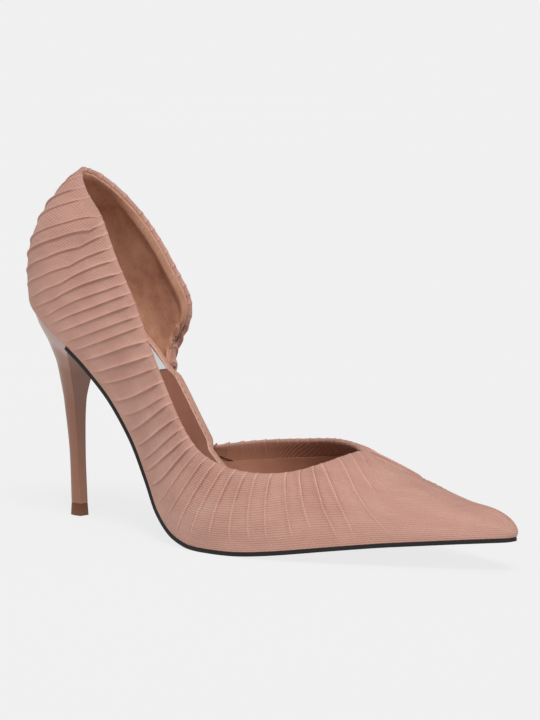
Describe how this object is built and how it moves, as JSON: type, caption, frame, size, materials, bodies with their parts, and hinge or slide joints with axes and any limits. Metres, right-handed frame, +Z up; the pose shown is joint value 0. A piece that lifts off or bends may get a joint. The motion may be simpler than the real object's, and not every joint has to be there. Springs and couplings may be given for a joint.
{
  "type": "high heel pump",
  "caption": "Pointed half-d'Orsay stiletto pump: pleated mesh upper closed on the outer side, open at the inner waist, on a slim lacquered heel.",
  "frame": {"origin": "middle of the box that bounds the shoe, on the ground under the heel's tip and the ball", "axes": "+X from the heel to the toe, +Y to the inner side that is cut out at the waist, +Z up, the shoe standing on its heel tip and its ball"},
  "size_m": [0.24, 0.0754, 0.1429],
  "materials": {
    "pleated_mesh": "matte pleated mesh",
    "base_cloth": "matte woven",
    "heel_lacquer": "glossy lacquer",
    "outsole_black": "satin",
    "tip_rubber": "satin",
    "lining_suede": "napped",
    "lining_smooth": "smooth",
    "sock_leather": "smooth",
    "rim_leather": "smooth",
    "label_foil": "satin",
    "board": "matte fibre",
    "foam": "foam",
    "stiffener": "matte",
    "tape": "woven tape",
    "steel": "plain"
  },
  "bodies": {
    "root": {"footbed_foam": "foam", "forepart_filler": "board", "heel_body": "heel_lacquer", "heel_counter": "stiffener", "heel_nail_1": "steel", "heel_nail_2": "steel", "heel_nail_3": "steel", "heel_nail_4": "steel", "heel_screw": "steel", "heel_tube": "steel", "insole_board": "board", "insole_rim_wrap": "rim_leather", "outsole": "outsole_black", "quarter_lining": "lining_suede", "shank_board": "board", "shank_rivet_1": "steel", "shank_rivet_2": "steel", "sock_label": "label_foil", "sock_lining": "sock_leather", "steel_shank": "steel", "toe_puff": "stiffener", "top_piece": "tip_rubber", "top_piece_dowel": "steel", "topline_tape_side": "tape", "topline_tape_wing": "tape", "upper_base_ear": "base_cloth", "upper_base_vamp": "base_cloth", "upper_pleated_ear": "pleated_mesh", "upper_pleated_vamp": "pleated_mesh", "vamp_lining": "lining_smooth"}
  },
  "joints": []
}
